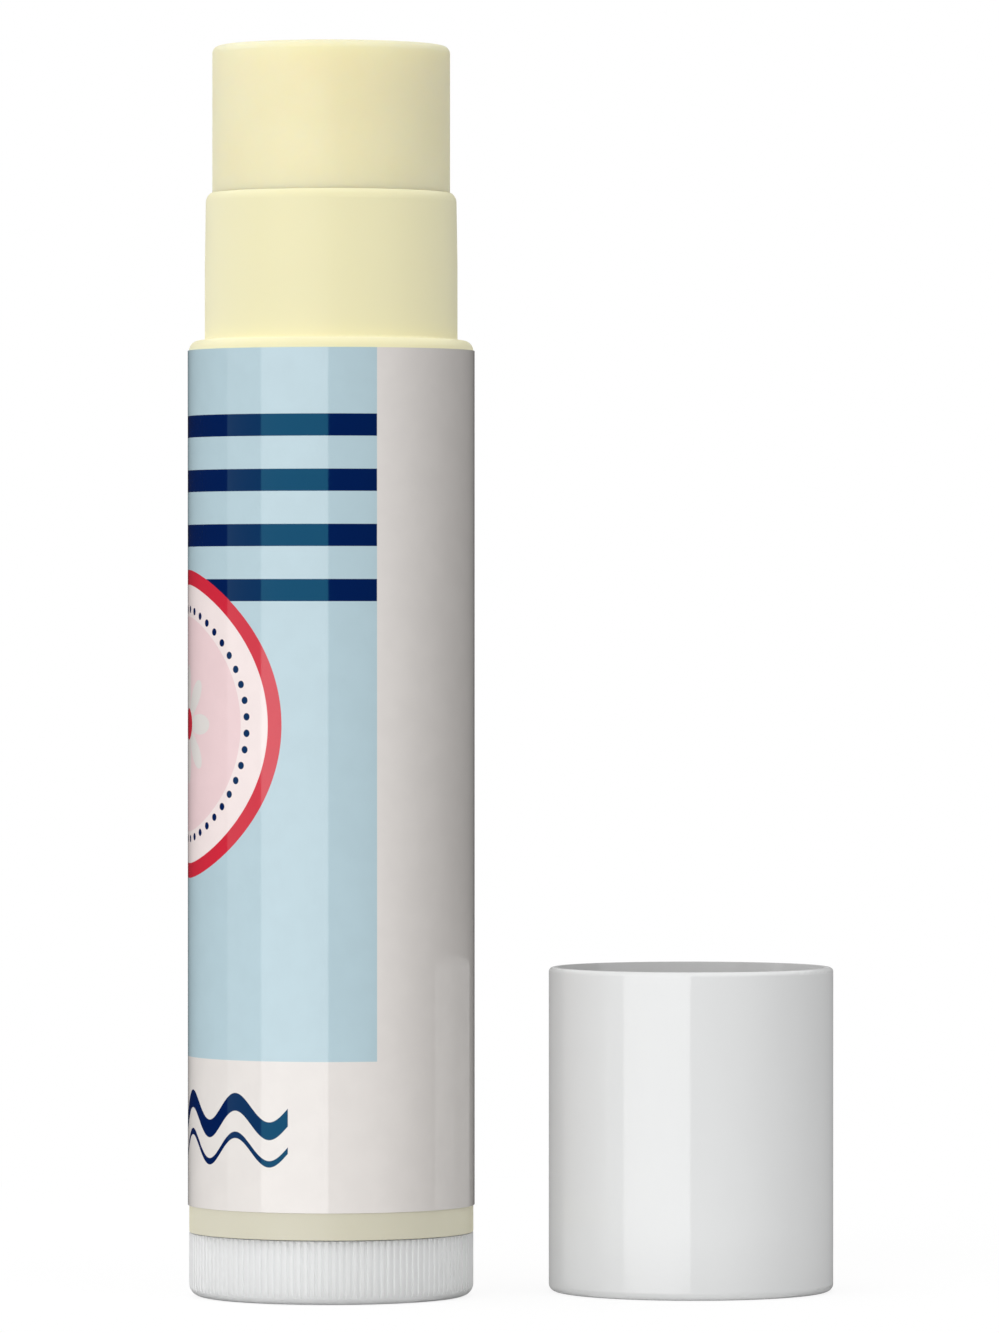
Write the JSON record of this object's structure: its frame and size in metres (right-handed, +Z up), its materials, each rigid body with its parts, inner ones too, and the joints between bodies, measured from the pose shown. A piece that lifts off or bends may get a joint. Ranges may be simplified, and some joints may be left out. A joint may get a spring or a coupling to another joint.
{
  "type": "lip balm stick",
  "caption": "Round twist-up lip balm stick with a wrap label, a knurled base wheel that drives the balm out by a screw, and a push-on cap standing beside it.",
  "frame": {"origin": "middle of the base wheel's flat underside, on the stick's axis, on the surface that it stands on", "axes": "+Z up along the stick's axis, +X towards the cap, -Y towards the viewer of the picture"},
  "size_m": [0.0348, 0.0186, 0.0671],
  "materials": {
    "barrel_plastic": "satin cream polypropylene",
    "label_film": "glossy printed film: pale blue panel with navy stripes, a plain beaded roundel, a navy wave, white band and panel",
    "wheel_plastic": "satin white polypropylene, finely knurled",
    "carrier_plastic": "satin natural polypropylene",
    "balm_wax": "smooth waxy cream balm",
    "cap_plastic": "satin white polypropylene"
  },
  "bodies": {
    "barrel": {"barrel": "barrel_plastic", "label": "label_film"},
    "base_wheel": {"base_wheel": "wheel_plastic"},
    "carriage": {"carrier": "carrier_plastic", "balm": "balm_wax"},
    "cap": {"cap": "cap_plastic"}
  },
  "joints": [
    {"name": "wheel_turn", "type": "hinge", "parent": "barrel", "child": "base_wheel", "pos_m": [0, 0, 0], "axis": [0, 0, 1], "range_deg": [-948, 3360]},
    {"name": "balm_slide", "type": "slide", "parent": "barrel", "child": "carriage", "axis": [0, 0, 1], "range_m": [-0.0079, 0.028]},
    {"name": "cap_lift", "type": "slide", "parent": "barrel", "child": "cap", "axis": [0, 0, 1], "range_m": [0, 0.075]}
  ],
  "couplings": [
    {"joint": "wheel_turn", "follows": "balm_slide", "rad_per_m": 2094.4}
  ]
}
